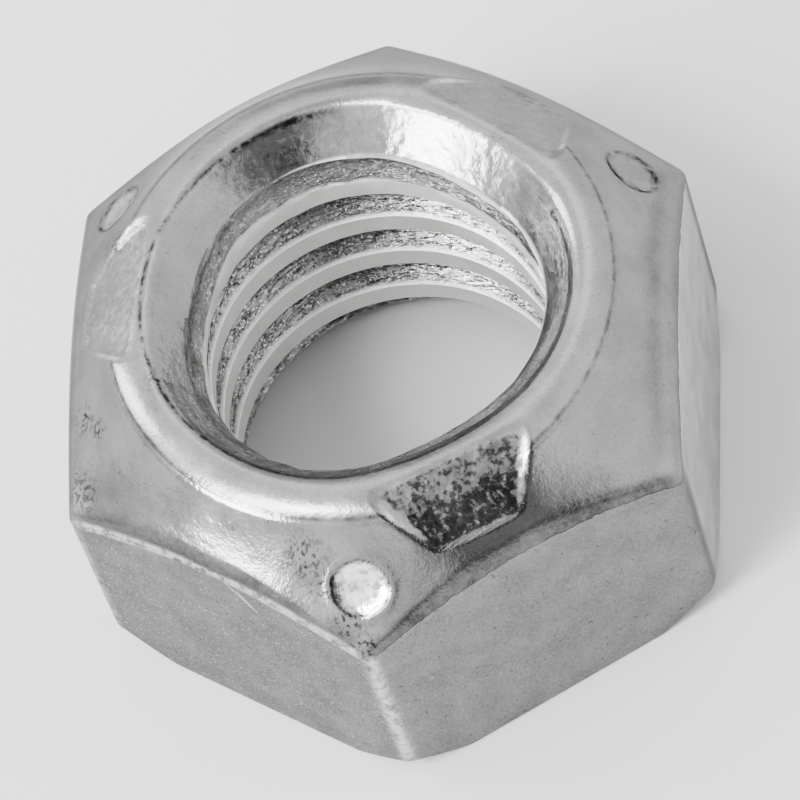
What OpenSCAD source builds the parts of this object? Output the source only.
// All-metal hexagon lock nut, cold formed in one piece.
// A dished dome rises from the six corners to a low collar round the hole. Three sloping
// punch marks in the dome press the collar inwards, so that the top of the thread is
// squeezed out of round and grips the bolt.
// The origin is the centre of the bearing face, and +Z points to the collar.
// Sizes are in millimetres. The thread itself is cut later: the hole has its inner diameter.

/* [Hexagon] */
// Width across two opposite flats
across_flats = 14.29; // [13.8:0.01:15.5]
// Height of the collar's top above the bearing face
nut_h = 8.57; // [8.1:0.01:9.4]
// Radius of the six upright edges
upright_edge_r = 0.25; // [0.1:0.05:0.6]
// Radius of the arched edges where the flats meet the dome
arch_edge_r = 0.5; // [0.2:0.05:0.8]

/* [Bearing face] */
// Diameter of the round bearing face
bearing_d = 15.2; // [14.4:0.05:15.6]
// Angle of the chamfer on the lower corners, from the bearing face
bearing_chamfer_angle = 50; // [30:1:60]

/* [Dome and collar] */
// Height of the upper corners above the bearing face
corner_h = 5.98; // [5.4:0.02:6.4]
// Depth of the dome's hollow below a straight cone
dish_sag = 0.14; // [0.05:0.01:0.25]
// Diameter of the collar where it leaves the dome
collar_d = 11.84; // [11.5:0.02:12.4]
// Height of the collar above the dome, to its crest
collar_rise = 0.2; // [0.12:0.01:0.4]
// Diameter of the ring along the collar's crest
crest_d = 10.48; // [10.1:0.02:10.9]
// Share of the collar's height that is a straight step, below its rounded shoulder
step_share = 0.35; // [0.1:0.05:0.6]

/* [Hole] */
// Diameter of the hole over the thread's inner edge
thread_minor_d = 8.14; // [7.8:0.01:8.3]
// Diameter of the countersink in the bearing face
lead_in_d = 9.8; // [9:0.05:10.4]
// Angle of the countersink's wall from the hole's axis
lead_in_angle = 45; // [30:1:60]
// Width of the rounded lip between the crest and the funnel
lip_w = 0.34; // [0.2:0.02:0.5]
// Drop of the rounded lip from the crest to the funnel
lip_drop = 0.14; // [0.08:0.01:0.3]
// Angle of the funnel's wall from the hole's axis
funnel_angle = 44; // [35:1:50]
// Outward shift of the lobes that the punches leave between them in the funnel
lobe_shift = 0.3; // [0.1:0.01:0.5]
// How much steeper a lobe's wall is than the funnel's
lobe_steepening = 7; // [3:1:12]

/* [Punch marks] */
// Number of punch marks round the collar
punch_count = 3; // [2:1:4]
// Turn of the punch marks from the middle of their flats
punch_turn = -5; // [-10:1:10]
// Slope of a punch mark's floor, from level
punch_slope = 38.5; // [36:0.5:42]
// Width of the floor where it meets the lip
punch_inner_w = 3.74; // [3.2:0.02:4.2]
// Width of the floor at its outer end
punch_outer_w = 2.12; // [1.6:0.02:2.6]
// Distance inside the crest at which the floor meets the lip
punch_bite = 0.2; // [0.14:0.02:0.26]
// Rim left between the floor's outer end and the flat
punch_rim = 0.72; // [0.6:0.02:0.9]
// Lean of the punch mark's walls, from the punch's own direction
punch_flare = 46; // [30:1:50]

/* [Dimples] */
// Diameter of the round dimples near three corners
dimple_d = 1.3; // [0.8:0.1:1.6]
// Depth of the dimples
dimple_depth = 0.14; // [0.08:0.01:0.25]
// Distance of the dimples from the hole's axis
dimple_from_axis = 7; // [6.8:0.05:7.2]

/* [Hidden] */
$fn = 96;
FLATS = 6;
FLAT_TURN = 360 / FLATS;
CORNER_TURN = FLAT_TURN / 2;
ARC_STEPS = 8;
EDGE_STEPS = 4;
PUNCH_STROKE = 1.2;
LOBE_BITE = 0.03;
ARCH_SHARE = 0.9;
ARCH_DEPTH_SHARE = 0.5;
ARCH_CLEARANCE = 14;
SKIN = 0.01;
SPARE = 0.5;
apothem = across_flats / 2;
corner_r = apothem / cos(CORNER_TURN);
bearing_r = bearing_d / 2;
chamfer_h = (corner_r - bearing_r) * tan(bearing_chamfer_angle);
collar_r = collar_d / 2;
crest_r = crest_d / 2;
minor_r = thread_minor_d / 2;
lead_in_r = lead_in_d / 2;
lead_in_h = (lead_in_r - minor_r) / tan(lead_in_angle);
lip_r = crest_r - lip_w;
lip_h = nut_h - lip_drop;
dome_foot = [corner_r, corner_h];
dome_top = [collar_r, nut_h - collar_rise];
crest = [crest_r, nut_h];
lip = [lip_r, lip_h];
shoulder = dome_top + [0, step_share * collar_rise];
funnel_end_h = lip_h - (lip_r - minor_r) / tan(funnel_angle);
dish_chord = dome_top - dome_foot;
dish_r = (pow(norm(dish_chord) / 2, 2) + pow(dish_sag, 2)) / (2 * dish_sag);
dish_centre = (dome_foot + dome_top) / 2
    + [dish_chord[1], -dish_chord[0]] / norm(dish_chord) * (dish_r - dish_sag);

// Points from a to b on an arc that bulges to the left of the line by sag
function arc_points(a, b, sag, steps) =
    let (chord = b - a)
    let (half = norm(chord) / 2)
    let (r = (half * half + sag * sag) / (2 * sag))
    let (along = chord / norm(chord))
    let (left = [-along[1], along[0]])
    let (centre = (a + b) / 2 - left * (r - sag))
    let (sweep = asin(half / r))
    [for (i = [0 : steps])
        let (t = sweep * (2 * i / steps - 1))
        centre + left * r * cos(t) + along * r * sin(t)];

// Points from a to b on an arc that is level at the higher of the two
function level_arc_points(a, b, steps) =
    let (chord = b - a)
    let (lean = atan(abs(chord[1] / chord[0])))
    let (back = arc_points(b, a, norm(chord) / 2 * tan(lean / 2), steps))
    [for (i = [steps : -1 : 0]) back[i]];

// Height and slope of the dished dome at a distance from the axis
function dome_h(r) = dish_centre[1] - sqrt(pow(dish_r, 2) - pow(r - dish_centre[0], 2));
function dome_slope(r) = asin((dish_centre[0] - r) / dish_r);

// Height of the rounded lip at a distance from the axis, inside the crest
function lip_height(r) =
    let (radius = (lip_w * lip_w + lip_drop * lip_drop) / (2 * lip_drop))
    nut_h - radius + sqrt(pow(radius, 2) - pow(crest_r - r, 2));

// Outline of the hexagon with rounded corners
function hexagon_points() =
    let (centre_r = (apothem - upright_edge_r) / cos(CORNER_TURN))
    [for (side = [0 : FLATS - 1], i = [0 : EDGE_STEPS])
        let (axis = side * FLAT_TURN + CORNER_TURN)
        let (turn = axis - CORNER_TURN + FLAT_TURN * i / EDGE_STEPS)
        centre_r * [cos(axis), sin(axis)] + upright_edge_r * [cos(turn), sin(turn)]];

module hexagon_bar() {
    linear_extrude(height = nut_h + SPARE) polygon(hexagon_points());
}

// Section turned about the axis: bearing face, corner chamfer, dished dome, collar, funnel,
// hole and countersink
module turned_section() {
    rotate_extrude()
        polygon(concat(
            [[lead_in_r, 0], [bearing_r, 0], [corner_r, chamfer_h]],
            arc_points(dome_foot, dome_top, dish_sag, ARC_STEPS),
            level_arc_points(shoulder, crest, EDGE_STEPS),
            level_arc_points(crest, lip, EDGE_STEPS),
            [[minor_r, funnel_end_h], [minor_r, lead_in_h]]));
}

// A drum on its side whose rounded rims follow the arched edges of two opposite flats
module arch_drum() {
    top = dome_h(apothem);
    half_w = ARCH_SHARE * apothem * tan(CORNER_TURN);
    fall = top - dome_h(norm([apothem, half_w]));
    drum_r = (half_w * half_w + fall * fall) / (2 * fall);
    slope = dome_slope(apothem);
    turn = 90 - slope;
    tangent = arch_edge_r * tan(turn / 2);
    reach = apothem * ARCH_DEPTH_SHARE;
    rim = [for (i = [0 : EDGE_STEPS])
        let (t = turn * i / EDGE_STEPS)
        [drum_r - tangent + arch_edge_r * sin(t), apothem - arch_edge_r * (1 - cos(t))]];
    inner = rim[EDGE_STEPS] + [reach * tan(slope + ARCH_CLEARANCE), -reach];
    side = concat(rim, [inner]);
    translate([0, 0, top - drum_r])
        rotate([0, 90, 0])
            rotate_extrude()
                polygon(concat(
                    [[0, apothem]],
                    side,
                    [for (i = [len(side) - 1 : -1 : 0]) [side[i][0], -side[i][1]]],
                    [[0, -apothem]]));
}

module forged_blank() {
    intersection() {
        hexagon_bar();
        turned_section();
        arched_edges();
    }
}

module arched_edges() {
    intersection_for(pair = [0 : FLATS / 2 - 1])
        rotate(pair * FLAT_TURN) arch_drum();
}

// The places between the punches, where the funnel keeps its width down to the thread
module funnel_lobes() {
    wall_angle = funnel_angle - lobe_steepening;
    small_r = minor_r - lobe_shift - SPARE;
    large_r = lip_r - lobe_shift + LOBE_BITE;
    fall = (large_r - small_r) / tan(wall_angle);
    for (i = [0 : punch_count - 1])
        rotate(punch_turn + 360 * i / punch_count)
            translate([lobe_shift, 0, lip_h - fall])
                cylinder(h = fall + SPARE, r1 = small_r, r2 = large_r + SPARE * tan(wall_angle));
}

// One sloping punch mark: a flat floor that runs out over the lip and widens towards it,
// with leaning walls at its sides and its outer end
module punch() {
    inner_r = crest_r - punch_bite;
    length = (apothem - punch_rim - inner_r) / cos(punch_slope);
    taper = (punch_inner_w - punch_outer_w) / 2 / length;
    inner_half = punch_inner_w / 2 + SPARE * taper;
    outer_half = punch_outer_w / 2;
    function floor_plan(grow) = [
        [-SPARE, inner_half + grow],
        [length + grow, outer_half + grow],
        [length + grow, -outer_half - grow],
        [-SPARE, -inner_half - grow]];
    translate([inner_r, 0, lip_height(inner_r)])
        rotate([0, punch_slope, 0])
            hull() {
                linear_extrude(height = SKIN) polygon(floor_plan(0));
                translate([0, 0, PUNCH_STROKE])
                    linear_extrude(height = SKIN) polygon(floor_plan(PUNCH_STROKE * tan(punch_flare)));
            }
}

module punch_marks() {
    for (i = [0 : punch_count - 1])
        rotate(punch_turn - 2 * CORNER_TURN + 360 * i / punch_count) punch();
}

module dimples() {
    slope = dome_slope(dimple_from_axis);
    for (i = [0 : punch_count - 1])
        rotate(-90 + 360 * i / punch_count)
            translate([dimple_from_axis, 0, dome_h(dimple_from_axis)])
                rotate([0, slope, 0])
                    translate([0, 0, -dimple_depth])
                        cylinder(h = dimple_depth + SPARE, d = dimple_d);
}

module lock_nut() {
    color("silver")
        difference() {
            forged_blank();
            funnel_lobes();
            punch_marks();
            dimples();
        }
}

lock_nut();
